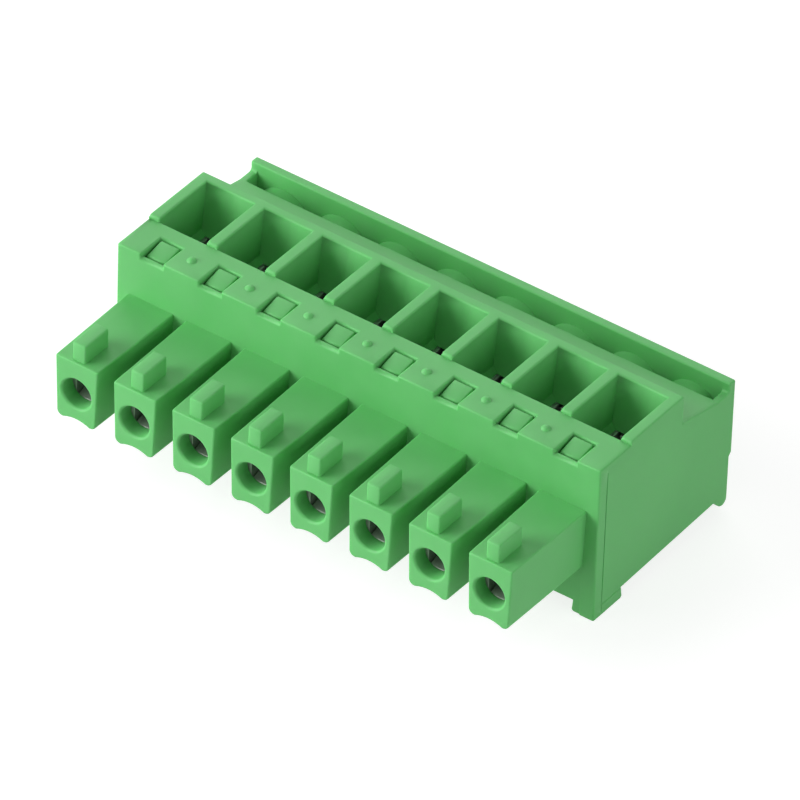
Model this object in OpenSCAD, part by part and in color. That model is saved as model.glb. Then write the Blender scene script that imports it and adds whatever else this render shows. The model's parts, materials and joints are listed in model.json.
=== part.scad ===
// Pluggable terminal block: eight screw clamps in a row, pin sockets in front, wire funnels on top.
// X runs along the row of poles, Y from the socket fingers back to the screws, Z is up.
// The origin lies on the table, under the middle of the part's length and depth.
// The sub-parts are drawn with Y = 0 at the block's front face, and placed() moves them to the origin.
// All sizes are in millimetres.

/* [Row] */
// Distance from one pole to the next
pitch = 3.81; // [3.2:0.01:4.6]
// Plastic outside the first and the last wire funnel
end_wall = 0.67; // [0.5:0.01:2]

/* [Block] */
// Height of the funnel block above the table
block_h = 10.23; // [9.6:0.01:13]
// Depth from the front face to the rear wall
block_d = 12.17; // [12:0.01:16]
// Thickness of the front housing's plate
plate_t = 0.67; // [0.5:0.01:0.9]
// Open joint between the front plate and the rear housing
seam = 0.06; // [0.02:0.01:0.15]
// Step by which the front face lies deeper below the fingers
face_step = 0.06; // [0.02:0.01:0.15]
// Width of the face beside that step, at each end
face_edge = 0.9; // [0.5:0.01:1.3]
// Height of the feet, which is the air under the block
foot_h = 0.67; // [0.3:0.01:1]
// Length of a foot along the row
foot_w = 1.42; // [0.8:0.01:2]
// Depth of a foot from front to back
foot_d = 2.55; // [1:0.01:4]
// Radius of a foot's lower corners
foot_r = 0.15; // [0.05:0.01:0.3]
// How far the underside rises from the feet to the bead
under_rise = 0.18; // [0:0.01:0.4]
// Radius of the bead along the rear lower edge
bead_r = 0.4; // [0.2:0.01:0.5]
// Height of the bead above the table
bead_z = 0.2; // [0:0.01:0.3]
// Radius of the round edges along the row
edge_r = 0.1; // [0.04:0.01:0.2]
// Radius of the funnel block's upper edge behind the strip
brow_r = 0.18; // [0.1:0.01:0.22]

/* [Top strip] */
// Depth of the strip in front of the funnels
strip_d = 2.76; // [2.2:0.01:3]
// How far the strip lies below the top of the funnel block
strip_drop = 0.25; // [0.1:0.01:0.5]
// Thickness of the strip, which laps over the rear housing
strip_t = 0.53; // [0.4:0.01:0.8]
// Width of a latch window
window_w = 1.48; // [1:0.01:2]
// Depth of a latch window
window_d = 1.5; // [1:0.01:1.7]
// Thickness of the lip in front of a latch window
lip_t = 0.3; // [0.2:0.01:0.5]
// How far that lip lies below the strip
lip_drop = 0.27; // [0.1:0.01:0.4]
// How far the lip falls from there to the front face
lip_fall = 0.12; // [0:0.01:0.2]
// Air around a latch in its window
latch_gap = 0.12; // [0.05:0.01:0.25]
// How far a latch's rear edge lies below the strip
latch_drop = 0.08; // [0:0.01:0.15]
// Rise of a latch's ramp from front to back
latch_rise = 0.22; // [0.1:0.01:0.35]
// Diameter of a pip between two windows
pip_d = 0.57; // [0.3:0.01:0.8]
// Height of a pip
pip_h = 0.17; // [0.05:0.01:0.2]
// Distance of a pip to the right of its window's middle
pip_x = 1.75; // [1.3:0.01:2]

/* [Socket fingers] */
// Length of a finger in front of the block
finger_l = 6.45; // [5:0.01:8]
// Width of a finger at its tip, along the top
finger_w = 2.76; // [2.5:0.01:2.9]
// How much wider a finger is at its root
finger_flare = 0.24; // [0:0.01:0.4]
// How much narrower a finger is along the bottom
finger_draft = 0.24; // [0:0.01:0.4]
// Height of a finger
finger_h = 3.97; // [3.6:0.01:5]
// Height of a finger's underside above the table
finger_z = 3.03; // [2.4:0.01:3.5]
// Radius of a finger's lower edges
finger_r = 0.35; // [0.1:0.01:0.5]
// Radius of the hollow along a finger's underside
hollow_r = 2; // [1:0.01:3]
// Depth of that hollow
hollow_depth = 0.2; // [0.05:0.01:0.4]
// Height of the pin hole's middle above a finger's underside
pin_rise = 1.9; // [1.7:0.01:2.3]
// Diameter of the round hole for the header's pin
pin_hole_d = 1.86; // [1.4:0.01:2]
// Width of the bevel around that hole
pin_bevel = 0.1; // [0.05:0.01:0.2]
// Thickness of a finger's front wall
finger_wall = 0.95; // [0.6:0.01:2]
// Width of the coding key on a finger
key_w = 0.84; // [0.5:0.01:1.2]
// Length of the coding key
key_l = 2.05; // [1:0.01:3]
// Height of the coding key
key_h = 1.15; // [0.6:0.01:1.6]
// Distance of the coding key behind the finger's tip
key_inset = 0.2; // [0:0.01:1]

/* [Wire funnels] */
// Wall between two funnels
funnel_wall = 0.67; // [0.5:0.01:0.9]
// Depth of a funnel from front to back at the top
funnel_d = 4.19; // [4:0.01:4.6]
// Wall behind a funnel
funnel_back = 0.58; // [0.4:0.01:1]
// How far the back of a funnel leans forward at the bottom
funnel_lean = 0.43; // [0:0.01:0.6]
// How far each side of a funnel leans inward at the bottom
funnel_taper = 0.06; // [0:0.01:0.2]
// Height of the steep throat that leads into the clamp
throat_h = 0.35; // [0.2:0.01:0.6]

/* [Rear channel] */
// How far the shelf starts below the top of the funnel block
shelf_drop = 1.85; // [1:0.01:1.9]
// Fall of the shelf from the funnel block to the channel
shelf_fall = 0.66; // [0:0.01:0.8]
// Width of the channel in front of the flange
channel_w = 0.97; // [0.5:0.01:1.2]
// Depth of the channel below its front edge
channel_depth = 1.5; // [0.5:0.01:2]
// Cheek that closes each end of the channel
cheek_t = 0.45; // [0.3:0.01:1]
// Thickness of the flange
flange_t = 0.53; // [0.4:0.01:1]
// Height of the flange above the end of the shelf
flange_h = 0.6; // [0.3:0.01:1.2]
// Radius at the foot of the flange on the cheeks
flange_r = 0.18; // [0.1:0.01:0.5]
// How far the band with the screw mouths stands proud of the rear wall
band_t = 0.2; // [0.05:0.01:0.4]
// Height of the band's lower edge above the table
band_z = 3.5; // [2:0.01:3.8]

/* [Clamp screws] */
// Diameter of the thread
screw_d = 2; // [1.6:0.1:2]
// Diameter of the head
head_d = 2.4; // [2.2:0.01:2.5]
// Length of the head
head_l = 1.5; // [1:0.01:1.6]
// Width of the screwdriver slot
slot_w = 0.4; // [0.3:0.01:0.6]
// Depth of the screwdriver slot
slot_depth = 0.6; // [0.4:0.01:0.8]
// Air around the head in its tunnel
head_gap = 0.1; // [0.05:0.01:0.15]
// Plastic around the tunnel
tunnel_wall = 0.4; // [0.3:0.01:0.5]
// Diameter of the mouth that the screwdriver goes through
mouth_d = 2.2; // [1.8:0.01:2.3]
// Width of the bevel around the mouth
mouth_bevel = 0.15; // [0.05:0.01:0.3]

/* [Clamps] */
// Air between the clamping cage and its chamber
cage_gap = 0.05; // [0.03:0.01:0.1]
// Height of the cage
cage_h = 3.6; // [3.4:0.01:3.8]
// Sheet thickness of the cage's sides
cage_side = 0.42; // [0.3:0.01:0.5]
// Thickness of the cage's front wall
cage_front = 0.6; // [0.4:0.01:0.8]
// Thickness of the cage's threaded rear wall
cage_rear = 1.2; // [0.8:0.01:1.3]
// Radius of the cage's bends
cage_r = 0.3; // [0.1:0.01:0.4]
// Room for the wire while the clamp stands open
wire_gap = 2.35; // [1.8:0.01:2.4]
// Way of the cage from open to closed
travel = 1.6; // [1:0.01:1.8]
// Radial play of the thread
thread_gap = 0.03; // [0.01:0.01:0.08]
// Wall between two clamp chambers
chamber_wall = 0.85; // [0.6:0.01:1]

/* [Contacts] */
// Sheet thickness of the current bar
bar_t = 0.6; // [0.4:0.01:0.8]
// Width of the current bar
bar_w = 1.8; // [1.4:0.01:1.9]
// Height of the contact's lowest face above the table
bar_z = 2.6; // [2.2:0.01:2.7]
// Width of the box that grips the header's pin
socket_w = 2; // [1.6:0.01:2.1]
// Height of that box
socket_h = 2.4; // [2:0.01:2.6]
// Sheet thickness of that box
socket_t = 0.28; // [0.2:0.01:0.35]
// Gap between the two leaves where they grip the pin
grip_gap = 0.84; // [0.6:0.01:1]
// Distance of that place behind the front of the box
grip_y = 1.3; // [0.8:0.01:2]
// Air between the contact and the plastic around it
contact_gap = 0.05; // [0.02:0.01:0.1]

/* [Hidden] */
POLES = 8;
$fn = 48;

// Overshoot of a cut past the face it opens
cut = 0.2;

// Along the row
funnel_w = pitch - funnel_wall;
half_w = (POLES - 1) / 2 * pitch + funnel_w / 2 + end_wall;
chamber_w = pitch - chamber_wall;
cage_w = chamber_w - 2 * cage_gap;
cage_bore_w = cage_w - 2 * cage_side;

// Heights
strip_z = block_h - strip_drop;
lap_z = strip_z - strip_t;
finger_top = finger_z + finger_h;
pin_z = finger_z + pin_rise;
under_z = foot_h + under_rise;
shelf_z = block_h - shelf_drop;
shelf_end_z = shelf_z - shelf_fall;
flange_z = shelf_end_z + flange_h;
channel_z = shelf_end_z - channel_depth;
cage_z = bar_z + bar_t + 3 * cage_gap;
cage_top = cage_z + cage_h;
roof_z = cage_top + cage_gap;
screw_z = cage_top - screw_d / 2 - cage_gap * 5;
ledge_z = roof_z + throat_h;

// Front to back
rear_front = plate_t + seam;
funnel_y = strip_d + funnel_d;
back_y = funnel_y + funnel_back;
band_y = block_d + band_t;
mid_y = (band_y - finger_l) / 2;
flange_y = band_y - flange_t;
channel_y = flange_y - channel_w;
bar_back = funnel_y;
bar_front = bar_back - bar_t;
cage_y = bar_front - wire_gap - cage_front;
cage_rear_y = bar_back + 2 * cage_gap;
cage_l = cage_rear_y + cage_rear - cage_y;
chamber_y = cage_y + cage_l + travel + 2 * cage_gap;
head_y = chamber_y + head_gap;
head_end = head_y + head_l;

bead_y = block_d - bead_r;
bead_slope = bead_r * sqrt(0.5);
bead_front = bead_y - bead_slope - (under_z - (bead_z + bead_r - bead_slope));

// Round sizes
tunnel_r = head_d / 2 + head_gap + tunnel_wall;
bore_r = head_d / 2 + head_gap;

// Middle of pole n, counted from 1 at the left
function pole_x(n) = (n - (POLES + 1) / 2) * pitch;

// Copies a shape to every pole
module at_poles(last = POLES) {
    for (n = [1 : last]) translate([pole_x(n), 0, 0]) children();
}

// Turns a front-to-back outline into a bar of width w along the row
module along_row(w) {
    translate([-w / 2, 0, 0]) rotate([90, 0, 90]) linear_extrude(w) children();
}

// Turns an outline seen from the front into a bar from y0 to y1
module along_depth(y0, y1) {
    translate([0, y1, 0]) rotate([90, 0, 0]) linear_extrude(y1 - y0) children();
}

// Round bar from y0 to y1
module rod(r, y0, y1) {
    translate([0, y0, 0]) rotate([-90, 0, 0]) cylinder(r = r, h = y1 - y0);
}

// Block that is centred on x = 0
module box(w, y0, y1, z0, z1) {
    translate([-w / 2, y0, z0]) cube([w, y1 - y0, z1 - z0]);
}

// Square corner with a round edge of radius r, which is cut away from a solid's edge at the origin
module edge_round(r) {
    difference() {
        translate([-r, -cut]) square([r + cut, r + cut]);
        translate([-r, r]) circle(r);
    }
}

// Rectangle with round corners, from y0 to y1
module soft_rect(w, y0, y1, r) {
    translate([-w / 2 + r, y0]) square([w - 2 * r, y1 - y0]);
    translate([-w / 2, y0 + r]) square([w, y1 - y0 - 2 * r]);
    for (x = [-w / 2 + r, w / 2 - r], y = [y0 + r, y1 - r]) translate([x, y]) circle(r);
}

// ---- Front housing

// Everything outside one drafted side of a finger, with its round lower edge
module finger_side() {
    flare = atan(finger_flare / 2 / finger_l);
    draft = atan(finger_draft / 2 / finger_h);
    translate([finger_w / 2, -finger_l, finger_top]) rotate([0, draft, -flare]) {
        translate([0, -cut, -finger_h - cut]) cube([pitch / 2, finger_l + plate_t + cut, finger_h + 2 * cut]);
        translate([0, 0, -finger_h]) along_depth(-cut, finger_l + plate_t) edge_round(finger_r);
    }
}

module finger() {
    difference() {
        box(finger_w + finger_flare + cut, -finger_l, plate_t, finger_z, finger_top);
        finger_side();
        mirror([1, 0, 0]) finger_side();
        translate([0, 0, finger_z + hollow_depth - hollow_r]) rod(hollow_r, -finger_l - cut, 0);
    }
    translate([0, key_inset - finger_l, finger_top - cut])
        translate([-key_w / 2, 0, 0]) cube([key_w, key_l, key_h + cut]);
}

// Room for the contact's socket, and the hole that the header's pin comes through
module finger_bore() {
    inner = finger_wall - finger_l;
    translate([0, 0, pin_z]) {
        rod(pin_hole_d / 2, -finger_l - cut, inner + contact_gap);
        translate([0, -finger_l, 0]) rotate([-90, 0, 0])
            cylinder(r1 = pin_hole_d / 2 + pin_bevel, r2 = pin_hole_d / 2, h = pin_bevel);
        box(socket_w + 2 * contact_gap, inner, plate_t + cut,
            -socket_h / 2 - contact_gap, socket_h / 2 + contact_gap);
    }
}

// Opening in the strip for a latch, with its lowered front lip
module window() {
    slope = lip_fall / lip_t;
    along_row(window_w) polygon([
        [-cut, strip_z - lip_drop - lip_fall - cut * slope], [lip_t, strip_z - lip_drop],
        [lip_t, lap_z - plate_t / 2], [lip_t + window_d, lap_z - plate_t / 2],
        [lip_t + window_d, strip_z + cut], [-cut, strip_z + cut]
    ]);
}

module pip() {
    r = (pip_d * pip_d / 4 + pip_h * pip_h) / (2 * pip_h);
    translate([pip_x, lip_t + window_d * 0.6, strip_z + pip_h - r]) sphere(r);
}

// Foot under the right-hand end; the joint line beside the plate runs down over it
module foot() {
    difference() {
        union() {
            translate([half_w - foot_w, 0, 0]) cube([foot_w, foot_d, foot_h]);
            translate([half_w - foot_w, 0, 0]) cube([foot_w, plate_t, foot_h + plate_t]);
        }
        translate([half_w, foot_d, 0]) along_row(2 * foot_w + cut) edge_round(foot_r);
        translate([half_w - foot_w, 0, 0]) mirror([1, 0, 0]) along_depth(-cut, foot_d + cut) edge_round(foot_r);
        translate([half_w - 2 * seam, plate_t, foot_r]) cube([2 * seam + cut, seam, foot_h]);
    }
}

module front_housing() color("mediumseagreen") {
    difference() {
        union() {
            along_row(2 * half_w) difference() {
                polygon([
                    [0, foot_h], [plate_t, foot_h], [plate_t, lap_z],
                    [strip_d, lap_z], [strip_d, strip_z], [0, strip_z]
                ]);
                translate([0, strip_z]) rotate(180) edge_round(edge_r);
            }
            foot();
            mirror([1, 0, 0]) foot();
            intersection() {
                at_poles(POLES - 1) pip();
                box(2 * half_w, 0, strip_d, lap_z, block_h);
            }
        }
        at_poles() window();
        at_poles() finger_bore();
        box(2 * (half_w - face_edge), -cut, face_step, -cut, finger_z);
    }
    at_poles() difference() {
        finger();
        finger_bore();
    }
}

// ---- Rear housing

module block_outline() {
    difference() {
        polygon([
            [rear_front, foot_h], [foot_d, foot_h], [bead_front, under_z], [block_d, under_z],
            [block_d, band_z - band_t], [band_y, band_z], [band_y, flange_z], [flange_y, flange_z],
            [flange_y, shelf_end_z], [channel_y, shelf_end_z], [back_y, shelf_z], [back_y, block_h],
            [strip_d, block_h], [strip_d, lap_z], [rear_front, lap_z]
        ]);
        translate([strip_d, block_h]) rotate(180) edge_round(brow_r);
        translate([back_y, block_h]) mirror([0, 1]) edge_round(edge_r);
        translate([flange_y, flange_z]) rotate(180) edge_round(edge_r);
        translate([band_y, flange_z]) mirror([0, 1]) edge_round(edge_r);
    }
    translate([flange_y, shelf_end_z]) edge_fill(flange_r);
    bead();
}

// Round bead with a front that slopes up at 45 degrees to the underside
module bead() {
    translate([bead_y, bead_z + bead_r]) circle(bead_r);
    polygon([
        [bead_y - bead_slope, bead_z + bead_r - bead_slope], [block_d, bead_z + bead_r],
        [block_d, under_z + cut], [bead_front - cut, under_z + cut], [bead_front, under_z]
    ]);
}

// Fills an inner corner at the origin with a hollow of radius r
module edge_fill(r) {
    difference() {
        translate([-r, 0]) square([r, r]);
        translate([-r, r]) circle(r);
    }
}

// Funnel: leaning walls seen from the side, crossed with leaning walls seen from the front.
// Its front stands open above the lap, where the strip's rear face closes it.
module funnel() {
    intersection() {
        along_row(pitch) polygon([
            [strip_d - cut, block_h + cut], [funnel_y, block_h + cut], [funnel_y, block_h],
            [funnel_y - funnel_lean, ledge_z], [bar_front, roof_z - cut],
            [cage_y + cage_front, roof_z - cut], [strip_d + funnel_taper, ledge_z],
            [strip_d, lap_z], [strip_d - cut, lap_z]
        ]);
        along_depth(0, back_y) polygon([
            [-funnel_w / 2, block_h + cut], [-funnel_w / 2, block_h],
            [funnel_taper - funnel_w / 2, ledge_z], [-cage_bore_w / 2, roof_z - cut],
            [cage_bore_w / 2, roof_z - cut], [funnel_w / 2 - funnel_taper, ledge_z],
            [funnel_w / 2, block_h], [funnel_w / 2, block_h + cut]
        ]);
    }
}

// Room for the cage, the contact and the screw of one pole
module clamp_chamber() {
    box(chamber_w, rear_front - cut, chamber_y, cage_z - cage_gap, roof_z);
    box(bar_w + 2 * contact_gap, rear_front - cut, bar_back + contact_gap, bar_z - contact_gap, roof_z);
    translate([0, 0, screw_z]) {
        rod(bore_r, chamber_y - cut, head_end + head_gap);
        rod(mouth_d / 2, chamber_y, band_y + cut);
        translate([0, band_y - mouth_bevel, 0]) rotate([-90, 0, 0])
            cylinder(r1 = mouth_d / 2, r2 = mouth_d / 2 + mouth_bevel * 2, h = mouth_bevel * 2);
    }
}

// The channel along the flange, which leaves the tops of the screw tunnels standing
module channel() {
    difference() {
        box(2 * (half_w - cheek_t), channel_y, flange_y, channel_z, block_h);
        at_poles() translate([0, 0, screw_z]) rod(tunnel_r, channel_y - cut, flange_y + cut);
    }
}

// Latch that rises into a window of the strip; its ramp lets the front housing slide on
module latch() {
    y0 = lip_t + latch_gap;
    y1 = lip_t + window_d - latch_gap;
    top = strip_z - latch_drop;
    along_row(window_w - 2 * latch_gap) polygon([
        [y0, lap_z - plate_t / 2 + latch_gap], [y0, top - latch_rise],
        [y1 - latch_gap, top], [y1, top], [y1, lap_z - plate_t / 2 + latch_gap]
    ]);
}

module rear_housing() color("mediumseagreen") {
    difference() {
        union() {
            along_row(2 * half_w) block_outline();
            at_poles() latch();
        }
        at_poles() funnel();
        at_poles() clamp_chamber();
        channel();
    }
}

// ---- Metal parts of one pole

// Strip that runs under the cage and stands up inside it, with the box that grips the pin
module contact() color("silver") {
    box_front = finger_wall - finger_l + contact_gap;
    box_back = rear_front + contact_gap;
    spring_t = socket_t * 0.8;
    leaf_w = socket_w - 2 * (socket_t + 2 * contact_gap);
    translate([0, 0, pin_z]) difference() {
        box(socket_w, box_front, box_back, -socket_h / 2, socket_h / 2);
        box(socket_w - 2 * socket_t, box_front - cut, box_back + cut,
            socket_t - socket_h / 2, socket_h / 2 - socket_t);
    }
    for (side = [0, 1]) translate([0, 0, pin_z]) mirror([0, 0, side]) along_row(leaf_w)
        polygon([
            [box_front, socket_h / 2 - socket_t], [box_front + grip_y, grip_gap / 2],
            [box_back - socket_t, socket_h / 2 - socket_t], [box_back - socket_t, socket_h / 2],
            [box_front + grip_y, grip_gap / 2 + spring_t], [box_front, socket_h / 2]
        ]);
    along_row(bar_w) difference() {
        union() {
            translate([box_back, bar_z]) square([bar_back - box_back, bar_t]);
            translate([box_back, bar_z]) square([bar_t, pin_z - socket_h / 2 + socket_t - bar_z]);
            translate([box_back - socket_t, pin_z - socket_h / 2]) square([bar_t, socket_t]);
            translate([bar_front, bar_z]) square([bar_t, roof_z - cage_gap * 4 - bar_z]);
        }
        translate([bar_back, bar_z]) edge_round(bar_t / 2);
        translate([box_back, bar_z]) mirror([1, 0]) edge_round(bar_t / 2);
    }
}

// Ring that pulls the wire against the current bar when its screw is turned
module clamp_cage() color("lightsteelblue") {
    difference() {
        translate([0, 0, cage_z]) linear_extrude(cage_h) difference() {
            soft_rect(cage_w, cage_y, cage_y + cage_l, cage_r);
            soft_rect(cage_bore_w, cage_y + cage_front, cage_rear_y, cage_r / 3);
        }
        translate([0, 0, screw_z]) rod(screw_d / 2 + thread_gap, bar_back, cage_y + cage_l + cut);
    }
}

// Screw that bears on the current bar and is kept from backing out by the mouth of its tunnel
module clamp_screw() color("gainsboro") {
    tip = bar_back + thread_gap;
    translate([0, 0, screw_z]) difference() {
        union() {
            rod(screw_d / 2, tip + slot_w / 2, head_y + cut);
            translate([0, tip, 0]) rotate([-90, 0, 0])
                cylinder(r1 = screw_d / 2 - slot_w / 2, r2 = screw_d / 2, h = slot_w / 2);
            rod(head_d / 2, head_y, head_end);
        }
        box(slot_w, head_end - slot_depth, head_end + cut, -head_d, head_d);
    }
}

// Moves a sub-part from the front face's frame to the part's own
module placed(n = (POLES + 1) / 2) translate([pole_x(n), -mid_y, 0]) children();

placed() front_housing();
placed() rear_housing();
placed(1) contact();  // contact_1
placed(2) contact();  // contact_2
placed(3) contact();  // contact_3
placed(4) contact();  // contact_4
placed(5) contact();  // contact_5
placed(6) contact();  // contact_6
placed(7) contact();  // contact_7
placed(8) contact();  // contact_8
placed(1) clamp_cage();  // clamp_cage_1
placed(2) clamp_cage();  // clamp_cage_2
placed(3) clamp_cage();  // clamp_cage_3
placed(4) clamp_cage();  // clamp_cage_4
placed(5) clamp_cage();  // clamp_cage_5
placed(6) clamp_cage();  // clamp_cage_6
placed(7) clamp_cage();  // clamp_cage_7
placed(8) clamp_cage();  // clamp_cage_8
placed(1) clamp_screw();  // clamp_screw_1
placed(2) clamp_screw();  // clamp_screw_2
placed(3) clamp_screw();  // clamp_screw_3
placed(4) clamp_screw();  // clamp_screw_4
placed(5) clamp_screw();  // clamp_screw_5
placed(6) clamp_screw();  // clamp_screw_6
placed(7) clamp_screw();  // clamp_screw_7
placed(8) clamp_screw();  // clamp_screw_8
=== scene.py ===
# %% [markdown]
# # A pluggable terminal block in Blender
# The part is a small green connector with eight poles. It is moulded in two pieces of plastic, and
# each pole has a contact, a clamping cage and a screw of metal inside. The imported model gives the
# exact shapes. What is left for this lesson is what a drawing leaves out: the soft edges of a
# moulding, the satin skin of the plastic, the dull plating of the metal, the light and the camera.

import json
import math

import bmesh
import bpy
import numpy as np
from mathutils import Matrix, Vector

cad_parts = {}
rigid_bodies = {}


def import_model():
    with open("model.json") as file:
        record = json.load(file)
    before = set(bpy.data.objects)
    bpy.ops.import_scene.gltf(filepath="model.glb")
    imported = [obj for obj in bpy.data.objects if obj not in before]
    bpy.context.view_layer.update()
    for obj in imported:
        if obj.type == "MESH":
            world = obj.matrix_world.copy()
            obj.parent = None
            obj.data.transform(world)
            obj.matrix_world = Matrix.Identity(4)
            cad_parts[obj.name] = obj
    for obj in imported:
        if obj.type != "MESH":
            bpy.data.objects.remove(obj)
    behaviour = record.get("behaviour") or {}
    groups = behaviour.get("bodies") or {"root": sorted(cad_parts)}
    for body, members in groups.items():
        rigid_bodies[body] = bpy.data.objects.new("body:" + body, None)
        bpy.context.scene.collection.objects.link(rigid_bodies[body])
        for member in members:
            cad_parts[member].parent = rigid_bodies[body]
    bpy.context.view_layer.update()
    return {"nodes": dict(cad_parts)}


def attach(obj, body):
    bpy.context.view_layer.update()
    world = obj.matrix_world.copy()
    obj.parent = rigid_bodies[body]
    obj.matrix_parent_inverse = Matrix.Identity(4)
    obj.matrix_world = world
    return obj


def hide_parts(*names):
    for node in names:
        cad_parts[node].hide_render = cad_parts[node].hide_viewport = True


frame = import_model()
nodes = frame["nodes"]

# %% [markdown]
# ## Sizes that the steps share
# Blender counts in metres, and this part is 31 mm long, so every size below is written in
# millimetres and multiplied by MM. The part's own frame has its origin on the table, under the
# middle of the length and depth. The front face of the block lies FACE_Y behind it.

# %% Shared sizes
MM = 0.001
POLES = 8
PITCH = 3.81 * MM
FACE_Y = -2.96 * MM
LAP_Z = 9.45 * MM  # where the strip lies on the rear housing
SEAM_Y = FACE_Y + 0.70 * MM  # the joint that shows on the two ends
STRIP_DEPTH = 2.76 * MM  # from the front face to the funnel block
FOOT_ROUND = 0.16 * MM  # up to here the feet are round already
pole_x = [(n - (POLES - 1) / 2) * PITCH for n in range(POLES)]
print("first pole at x =", round(pole_x[0] * 1e3, 3), "mm")

# %% [markdown]
# ## Soft edges
# A moulding has no sharp edge: the tool is cut with small radii, and the plastic shrinks back from
# the corners. Those edges catch the light as thin bright lines, which is most of what makes the part
# look like plastic. A Bevel modifier rounds them, but it needs a connected mesh with whole faces,
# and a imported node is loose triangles. So each node is copied, and its doubled points are merged.
# Level and upright cuts, some of them through the middle of each pole, then open every ring-shaped
# face and part the hooked ones. The triangles can then be joined into whole faces with no long
# slivers between the openings.
# Every outer edge that bends enough to be an edge gets a weight, which falls where the face beside it
# is narrow, so that two rounds never run into each other. Inner corners stay as they are, because
# the tool's steel is sharp there.

# %% Limits for edges and faces
SHARP_BEND = math.radians(28)  # a smaller bend belongs to a curved face
FLAT_BEND = math.radians(0.6)  # faces that bend less are one face
NARROW_SHARE = 0.42  # of a narrow face, the most that one round may take
SAME_POINT = 0.0005 * MM
print("edges sharper than", round(math.degrees(SHARP_BEND)), "degrees get a round")


# %% Room beside an edge
def face_depth(face, edge):
    """How far a face reaches inwards from the middle of one of its edges: the shortest distance at
    which a line in the face, at a right angle to that edge, meets another edge of the face."""
    start = (edge.verts[0].co + edge.verts[1].co) / 2
    along = (edge.verts[1].co - edge.verts[0].co).normalized()
    inward = face.normal.cross(along)
    loop = next(one for one in face.loops if one.edge == edge)
    if loop.vert != edge.verts[0]:
        inward.negate()
    best = 1.0
    for other in face.edges:
        if other == edge or other.seam:
            continue
        p, q = (v.co - start for v in other.verts)
        side_p, side_q = p.dot(along), q.dot(along)
        if (side_p > 0) == (side_q > 0):
            continue
        depth = (p.dot(inward) * side_q - q.dot(inward) * side_p) / (side_q - side_p)
        if depth > 0.0001 * MM:
            best = min(best, depth)
    return best


# %% The weight of an edge
def edge_weight(edge, radius, share):
    """1 for an outer edge with room on both sides, less beside a narrow face, and 0 for a flat bend
    or an inner corner. share is a function of the edge's middle that thins the round on a joint."""
    if not edge.is_convex or edge.calc_face_angle(0.0) < SHARP_BEND:
        return 0.0
    room = min(face_depth(f, edge) for f in edge.link_faces)
    middle = (edge.verts[0].co + edge.verts[1].co) / 2
    return min(1.0, NARROW_SHARE * room / radius) * share(middle)


# %% A rounded copy of a node
def rounded_copy(node, name, radius, share=lambda middle: 1.0, cuts=(), segments=3):
    """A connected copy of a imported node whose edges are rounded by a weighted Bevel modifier. Each
    cut is an axis (0 for X, 1 for Y, 2 for Z) and the place of the plane along it."""
    mesh = nodes[node].data.copy()
    mesh.name = name
    work = bmesh.new()
    work.from_mesh(mesh)
    bmesh.ops.remove_doubles(work, verts=work.verts, dist=SAME_POINT)
    for axis, place in cuts:
        across = Vector((axis == 0, axis == 1, axis == 2))
        cut = bmesh.ops.bisect_plane(
            work,
            geom=work.verts[:] + work.edges[:] + work.faces[:],
            plane_co=across * place,
            plane_no=across,
            dist=SAME_POINT,
        )
        for part in cut["geom_cut"]:
            is_edge = isinstance(part, bmesh.types.BMEdge)
            if is_edge and part.calc_face_angle(0.0) < FLAT_BEND:
                part.seam = True
    bmesh.ops.dissolve_limit(
        work, angle_limit=FLAT_BEND, verts=work.verts, edges=work.edges, delimit={"SEAM"}
    )
    work.normal_update()
    layer = work.edges.layers.float.new("bevel_weight_edge")
    for edge in work.edges:
        edge[layer] = edge_weight(edge, radius, share)
        edge.smooth = edge[layer] > 0 or edge.calc_face_angle(0.0) < SHARP_BEND
    for face in work.faces:
        face.smooth = True
    rounded = sum(edge[layer] > 0 for edge in work.edges)
    work.to_mesh(mesh)
    work.free()
    if "custom_normal" in mesh.attributes:
        mesh.attributes.remove(mesh.attributes["custom_normal"])
    piece = bpy.data.objects.new(name, mesh)
    bpy.context.scene.collection.objects.link(piece)
    bevel = piece.modifiers.new("soft edges", "BEVEL")
    bevel.limit_method = "WEIGHT"
    bevel.offset_type = "OFFSET"
    bevel.width = radius
    bevel.segments = segments
    bevel.use_clamp_overlap = False
    even = piece.modifiers.new("flat faces stay flat", "WEIGHTED_NORMAL")
    even.keep_sharp = True
    even.weight = 100
    print(name, len(mesh.polygons), "faces,", rounded, "rounded edges")
    return piece


# %% [markdown]
# ## The two housings
# Both mouldings get rounds of a tenth of a millimetre. The front plate meets the rear housing along
# a fine groove down each end, so there the rounds are much smaller. Under the strip, the two lie so
# tight on each other that no line shows, and that joint gets no round at all. The feet's lower
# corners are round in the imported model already, so they are left as they are, and so are the edges
# deep inside, which nobody sees.


# %% Sizes for the housings' rounds
HOUSING_ROUND = 0.1 * MM
JOINT_SHARE = 0.3
ON_PLANE = 0.01 * MM
AT_SEAM = 0.05 * MM
SOCKET = {"half": 1.1 * MM, "depth": (-6.0 * MM, 0.8 * MM), "height": (3.4 * MM, 6.5 * MM)}
WELLS = {"half": 15.2 * MM, "depth": (0.8 * MM, 10.5 * MM), "height": (0.9 * MM, 7.2 * MM)}
CUT_DEPTHS = (0.73, 2.76, 7.53, 11.84)  # plate, strip, funnel block and channel
CUT_HEIGHTS = (0.67, 3.03, 8.38)  # feet, fingers and shelf
print("rounds of", HOUSING_ROUND / MM, "mm, and", JOINT_SHARE, "of that at the joint")


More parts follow.
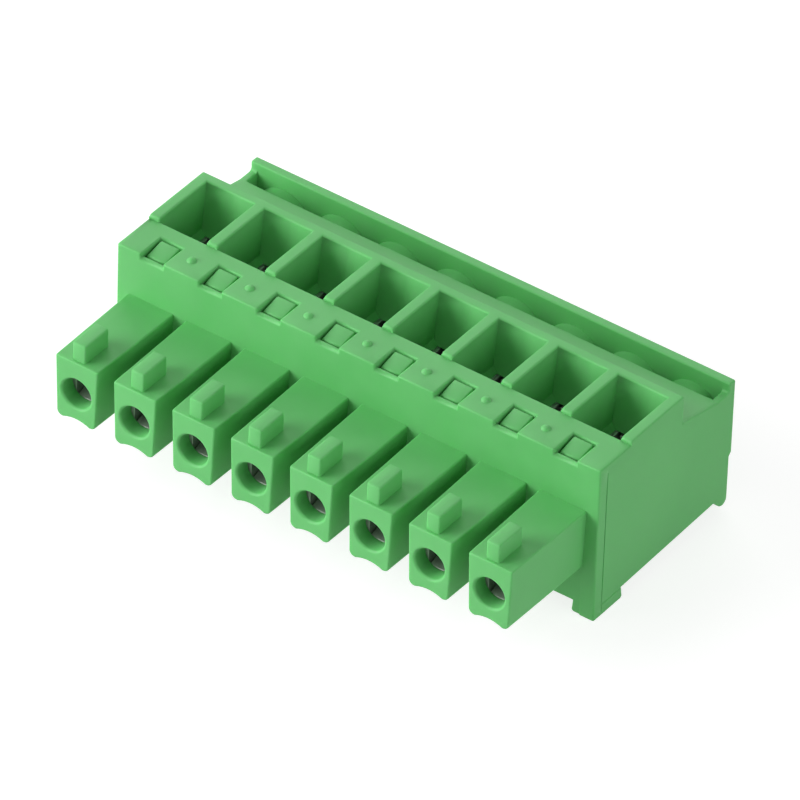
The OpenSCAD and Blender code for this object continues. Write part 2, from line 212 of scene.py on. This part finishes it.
# %% Round the housings
def housing_share(middle):
    """The part of the full round that an edge of the housings gets, from where its middle lies."""
    depth, z = middle.y - FACE_Y, middle.z
    from_pole = min(abs(middle.x - place) for place in pole_x)
    for room, aside in ((SOCKET, from_pole), (WELLS, abs(middle.x))):
        in_depth = room["depth"][0] < depth < room["depth"][1]
        in_height = room["height"][0] < z < room["height"][1]
        if aside < room["half"] and in_depth and in_height:
            return 0.0
    on_lap = abs(z - LAP_Z) < ON_PLANE or abs(depth - STRIP_DEPTH) < ON_PLANE
    if on_lap or z < FOOT_ROUND:
        return 0.0
    if abs(middle.y - SEAM_Y) < AT_SEAM and z < LAP_Z:
        return JOINT_SHARE
    return 1.0


cuts = [(0, n * PITCH / 2) for n in range(-POLES, POLES + 1)]
cuts += [(1, FACE_Y + depth * MM) for depth in CUT_DEPTHS]
cuts += [(2, height * MM) for height in CUT_HEIGHTS]
front = rounded_copy("front_housing", "front_moulding", HOUSING_ROUND, housing_share, cuts)
rear = rounded_copy("rear_housing", "rear_moulding", HOUSING_ROUND, housing_share, cuts)
for piece, node in ((front, "front_housing"), (rear, "rear_housing")):
    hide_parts(node)
    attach(piece, "housing")

# %% [markdown]
# ## The metal parts
# The contacts are stamped from thin sheet, the cages are bent, and the screws are turned, so their
# edges are rounder or sharper by the way they are made. Each pole has its own set, because a screw
# and its cage move by themselves.

# %% Round the contacts, cages and screws
for n in range(1, POLES + 1):
    for kind, radius, slot, body in (
        ("contact", 0.04, "tinned_contact", "housing"),
        ("clamp_cage", 0.06, "plated_cage", f"cage_{n}"),
        ("clamp_screw", 0.05, "screw_steel", f"screw_{n}"),
    ):
        node = f"{kind}_{n}"
        piece = rounded_copy(node, f"{kind}_metal_{n}", radius * MM, segments=2)
        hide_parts(node)
        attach(piece, body)

# %% [markdown]
# ## Building materials from nodes
# Every finish here is a Principled shader with a few noise textures on Object coordinates. Small
# helpers keep the node code readable: one adds a node and sets its inputs, and one adds a noise
# whose size is given as the length of its waves in millimetres.


# %% Helpers for node materials
def new_material(name):
    """An empty node material with an output, a Principled shader and the object's coordinates."""
    material = bpy.data.materials.new(name)
    material.use_nodes = True
    tree = material.node_tree
    tree.nodes.clear()
    output = tree.nodes.new("ShaderNodeOutputMaterial")
    shader = tree.nodes.new("ShaderNodeBsdfPrincipled")
    place = tree.nodes.new("ShaderNodeTexCoord")
    tree.links.new(shader.outputs["BSDF"], output.inputs["Surface"])
    return material, tree, shader, place.outputs["Object"]


def add(tree, kind, **inputs):
    """Adds a node and fills its inputs: a socket is linked, anything else is set as the value."""
    node = tree.nodes.new("ShaderNode" + kind)
    for key, value in inputs.items():
        socket = node.inputs[key.replace("_", " ")]
        if isinstance(value, bpy.types.NodeSocket):
            tree.links.new(value, socket)
        else:
            socket.default_value = value
    return node


def noise(tree, place, wave, detail=2.0, rough=0.5, stretch=(1, 1, 1)):
    """Noise from 0 to 1 with waves about as long as wave, in millimetres; stretch divides that
    length along X, Y and Z."""
    scaled = add(tree, "Mapping", Vector=place, Scale=tuple(s / (wave * MM) for s in stretch))
    vector = scaled.outputs["Vector"]
    made = add(tree, "TexNoise", Vector=vector, Scale=1.0, Detail=detail, Roughness=rough)
    return made.outputs["Fac"]


def ramp(tree, value, low, high, bottom, top):
    """Carries a value from the range low..high to the range bottom..top."""
    node = add(tree, "MapRange")
    tree.links.new(value, node.inputs["Value"])
    for key, number in (("From Min", low), ("From Max", high), ("To Min", bottom), ("To Max", top)):
        node.inputs[key].default_value = number
    return node.outputs["Result"]


def blend_colour(tree, share, first, second):
    """Mixes two colours by a share from 0 to 1."""
    node = tree.nodes.new("ShaderNodeMix")
    node.data_type = "RGBA"
    tree.links.new(share, node.inputs["Factor"])
    for socket, value in ((node.inputs["A"], first), (node.inputs["B"], second)):
        if isinstance(value, bpy.types.NodeSocket):
            tree.links.new(value, socket)
        else:
            socket.default_value = (*value, 1)
    return node.outputs["Result"]


def bump(tree, height, depth, under=None):
    """Bumps by a height from 0 to 1, whose full step is depth, in millimetres."""
    node = add(tree, "Bump", Strength=1.0, Distance=depth * MM, Height=height)
    if under is not None:
        tree.links.new(under, node.inputs["Normal"])
    return node.outputs["Normal"]


# %% [markdown]
# ## Satin green plastic
# The housings are moulded from a filled polyamide. Its skin is satin rather than glossy, the colour
# wanders a little where the melt flowed, and light goes a short way into it, which makes thin walls
# and hollows look deeper green. Two slow noises move the colour, a fine one gives the grain of the
# tool, and a stretched one gives the faint drag lines left by ejection.

# %% The plastic
plastic, tree, shader, place = new_material("satin green plastic")
broad = noise(tree, place, 7.0, 2.0)
cloud = noise(tree, place, 1.3, 3.0)
grain = noise(tree, place, 0.09, 2.0, 0.6)
drag = noise(tree, place, 1.0, 2.0, 0.5, (3.2, 0.6, 0.25))
deep_green, green, pale_green = (0.105, 0.455, 0.125), (0.12, 0.49, 0.14), (0.15, 0.51, 0.17)
base = blend_colour(tree, ramp(tree, broad, 0.3, 0.7, 0, 1), deep_green, green)
base = blend_colour(tree, ramp(tree, cloud, 0.35, 0.75, 0, 0.35), base, pale_green)
tree.links.new(base, shader.inputs["Base Color"])
tree.links.new(ramp(tree, cloud, 0.3, 0.7, 0.56, 0.64), shader.inputs["Roughness"])
skin = bump(tree, grain, 0.0035)
skin = bump(tree, cloud, 0.012, skin)
skin = bump(tree, drag, 0.008, skin)
tree.links.new(skin, shader.inputs["Normal"])
shader.inputs["IOR"].default_value = 1.5
shader.inputs["Subsurface Weight"].default_value = 0.3
shader.inputs["Subsurface Radius"].default_value = (0.25, 1.0, 0.3)
shader.inputs["Subsurface Scale"].default_value = 0.5 * MM
for piece in (front, rear):
    piece.data.materials.clear()
    piece.data.materials.append(plastic)
print("plastic on", front.name, "and", rear.name)

# %% [markdown]
# ## Plated metal
# The contact is brass plated with tin, the cage is zinc-plated steel and the screw is steel with a
# finer zinc layer. All three are metals with a rough, slightly cloudy surface. They differ in tint,
# in roughness and in the direction of the fine marks left by rolling and turning. The contact's
# colour holds painted shade and a painted green reflection: it is darker and greener than tin, for
# the shade and the green light from the plastic deep in its socket.


# %% The metals
def plated(name, colour, dark, rough, stretch):
    """A cloudy plated metal with fine marks along one direction."""
    material, tree, shader, place = new_material(name)
    cloud = noise(tree, place, 0.5, 3.0)
    marks = noise(tree, place, 0.4, 3.0, 0.6, stretch)
    tint = blend_colour(tree, ramp(tree, cloud, 0.3, 0.7, 0, 1), colour, dark)
    tree.links.new(tint, shader.inputs["Base Color"])
    dullness = ramp(tree, marks, 0.3, 0.7, rough - 0.06, rough + 0.08)
    tree.links.new(dullness, shader.inputs["Roughness"])
    tree.links.new(bump(tree, cloud, 0.004, bump(tree, marks, 0.003)), shader.inputs["Normal"])
    shader.inputs["Metallic"].default_value = 1.0
    return material


finishes = {
    # the contact's two colours are painted shade and a painted green reflection of the plastic around
    # it, darker and greener than tin
    "contact": plated(
        "tin with painted green shade", (0.40, 0.47, 0.40), (0.28, 0.34, 0.28), rough=0.58, stretch=(4, 0.3, 4)
    ),
    "clamp_cage": plated(
        "zinc on bent steel", (0.62, 0.63, 0.64), (0.50, 0.51, 0.53), rough=0.34, stretch=(4, 0.4, 1)
    ),
    "clamp_screw": plated(
        "zinc on turned steel", (0.68, 0.68, 0.67), (0.55, 0.55, 0.55), rough=0.28, stretch=(1, 6, 1)
    ),
}
for n in range(1, POLES + 1):
    for kind, finish in finishes.items():
        mesh = bpy.data.objects[f"{kind}_metal_{n}"].data
        mesh.materials.clear()
        mesh.materials.append(finish)
print("metals:", [m.name for m in finishes.values()])

# %% [markdown]
# ## Floor and surroundings
# The part lies on a white table in a white room. The camera and the reflections see plain white,
# through Light Path, while the light that falls on the part comes from the lamps and a weaker,
# even glow. The floor adds a share of plain diffuse white, so it still shows a pale shadow.


# %% The floor
def seen_directly(tree):
    """1 for a ray from the camera, a reflection or a look through glass, else 0."""
    path = tree.nodes.new("ShaderNodeLightPath")
    either = add(tree, "Math")
    either.operation = "MAXIMUM"
    tree.links.new(path.outputs["Is Camera Ray"], either.inputs[0])
    tree.links.new(path.outputs["Is Glossy Ray"], either.inputs[1])
    both = add(tree, "Math")
    both.operation = "MAXIMUM"
    tree.links.new(either.outputs[0], both.inputs[0])
    tree.links.new(path.outputs["Is Transmission Ray"], both.inputs[1])
    return both.outputs[0]


FLOOR_HALF = 1.5
paper = bpy.data.materials.new("white table")
paper.use_nodes = True
tree = paper.node_tree
tree.nodes.clear()
output = tree.nodes.new("ShaderNodeOutputMaterial")
glow = add(tree, "Emission", Color=(1, 1, 1, 1), Strength=0.8)
shown = add(tree, "BsdfDiffuse", Color=(0.36, 0.36, 0.36, 1))
lit = add(tree, "AddShader")
tree.links.new(glow.outputs[0], lit.inputs[0])
tree.links.new(shown.outputs[0], lit.inputs[1])
bounce = add(tree, "BsdfDiffuse", Color=(0.8, 0.8, 0.8, 1))
choice = add(tree, "MixShader", Fac=seen_directly(tree))
tree.links.new(bounce.outputs[0], choice.inputs[1])
tree.links.new(lit.outputs[0], choice.inputs[2])
tree.links.new(choice.outputs[0], output.inputs["Surface"])

corners = np.array([[-1, -1, 0], [1, -1, 0], [1, 1, 0], [-1, 1, 0]], float) * FLOOR_HALF
sheet = bpy.data.meshes.new("table")
sheet.from_pydata(corners.tolist(), [], [(0, 1, 2, 3)])
sheet.materials.append(paper)
floor = bpy.data.objects.new("table", sheet)
bpy.context.scene.collection.objects.link(floor)

# %% The white room
world = bpy.data.worlds.new("white room")
bpy.context.scene.world = world
world.use_nodes = True
tree = world.node_tree
tree.nodes.clear()
output = tree.nodes.new("ShaderNodeOutputWorld")
dim = add(tree, "Background", Color=(1, 1, 1, 1), Strength=0.05)
white = add(tree, "Background", Color=(1, 1, 1, 1), Strength=1.0)
choice = add(tree, "MixShader", Fac=seen_directly(tree))
tree.links.new(dim.outputs[0], choice.inputs[1])
tree.links.new(white.outputs[0], choice.inputs[2])
tree.links.new(choice.outputs[0], output.inputs["Surface"])

# %% [markdown]
# ## Lamps
# Four large soft lamps do what the lights of a product table do. One stands behind and above, and
# its reflection lies as a pale veil on every face that looks up. One stands in front on the left and
# one on the right, and they light the front and the end. A weak one hangs above the front.


# %% The lamps
LAMP_DISTANCE = 0.5
LAMP_AIM = Vector((0, 0, 0.005))


def soft_lamp(name, azimuth, elevation, size, watts):
    """A square lamp half a metre away, seen from the part at that azimuth and elevation, facing it.
    Azimuth 0 is in front of the part and grows towards its right."""
    a, e = math.radians(azimuth), math.radians(elevation)
    way = Vector((math.sin(a) * math.cos(e), -math.cos(a) * math.cos(e), math.sin(e)))
    data = bpy.data.lights.new(name, "AREA")
    data.shape = "SQUARE"
    data.size = size
    data.energy = watts
    lamp = bpy.data.objects.new(name, data)
    lamp.location = way * LAMP_DISTANCE + LAMP_AIM
    lamp.rotation_euler = way.to_track_quat("Z", "Y").to_euler()
    bpy.context.scene.collection.objects.link(lamp)
    print(name, [round(v, 3) for v in lamp.location])
    return lamp


soft_lamp("left lamp", -50, 20, 0.4, 3.4)
soft_lamp("back lamp", 215, 32, 0.4, 0.95)
soft_lamp("right lamp", 92, 20, 0.4, 1.1)
soft_lamp("top lamp", 0, 55, 0.4, 0.4)

# %% [markdown]
# ## Camera
# The part is seen from the front right and from above, through a long lens that stands well back, so
# its parallel edges stay nearly parallel. The camera looks at a point in the block. It is placed from
# its azimuth, elevation, roll and distance.

# %% The camera
AZIMUTH, ELEVATION, ROLL = math.radians(34.712), math.radians(38.521), math.radians(2.074)
DISTANCE = 594.82 * MM
LENS = 510.23
IN_BLOCK = Vector((0, FACE_Y + 3.0 * MM, 5.0 * MM))
SHIFT_RIGHT, SHIFT_UP = 0.654 * MM, 0.143 * MM
a, e = AZIMUTH, ELEVATION
back = Vector((math.sin(a) * math.cos(e), -math.cos(a) * math.cos(e), math.sin(e)))
level = Vector((math.cos(a), math.sin(a), 0))
upward = back.cross(level)
right = level * math.cos(ROLL) + upward * math.sin(ROLL)
up = upward * math.cos(ROLL) - level * math.sin(ROLL)
target = IN_BLOCK + right * SHIFT_RIGHT + up * SHIFT_UP
eye = target + back * DISTANCE
lens = bpy.data.cameras.new("camera")
lens.lens = LENS
lens.sensor_width = 36
lens.clip_start = 0.01
camera = bpy.data.objects.new("camera", lens)
turn = Matrix((right, up, back)).transposed().to_4x4()
camera.matrix_world = Matrix.Translation(eye) @ turn
bpy.context.scene.collection.objects.link(camera)
bpy.context.scene.camera = camera
print("camera at", [round(v, 4) for v in eye])

# %% [markdown]
# ## Finish
# Standard view keeps colours as they are lit.

# %% Set the view and finish
bpy.context.scene.view_settings.view_transform = "Standard"
bpy.context.view_layer.update()
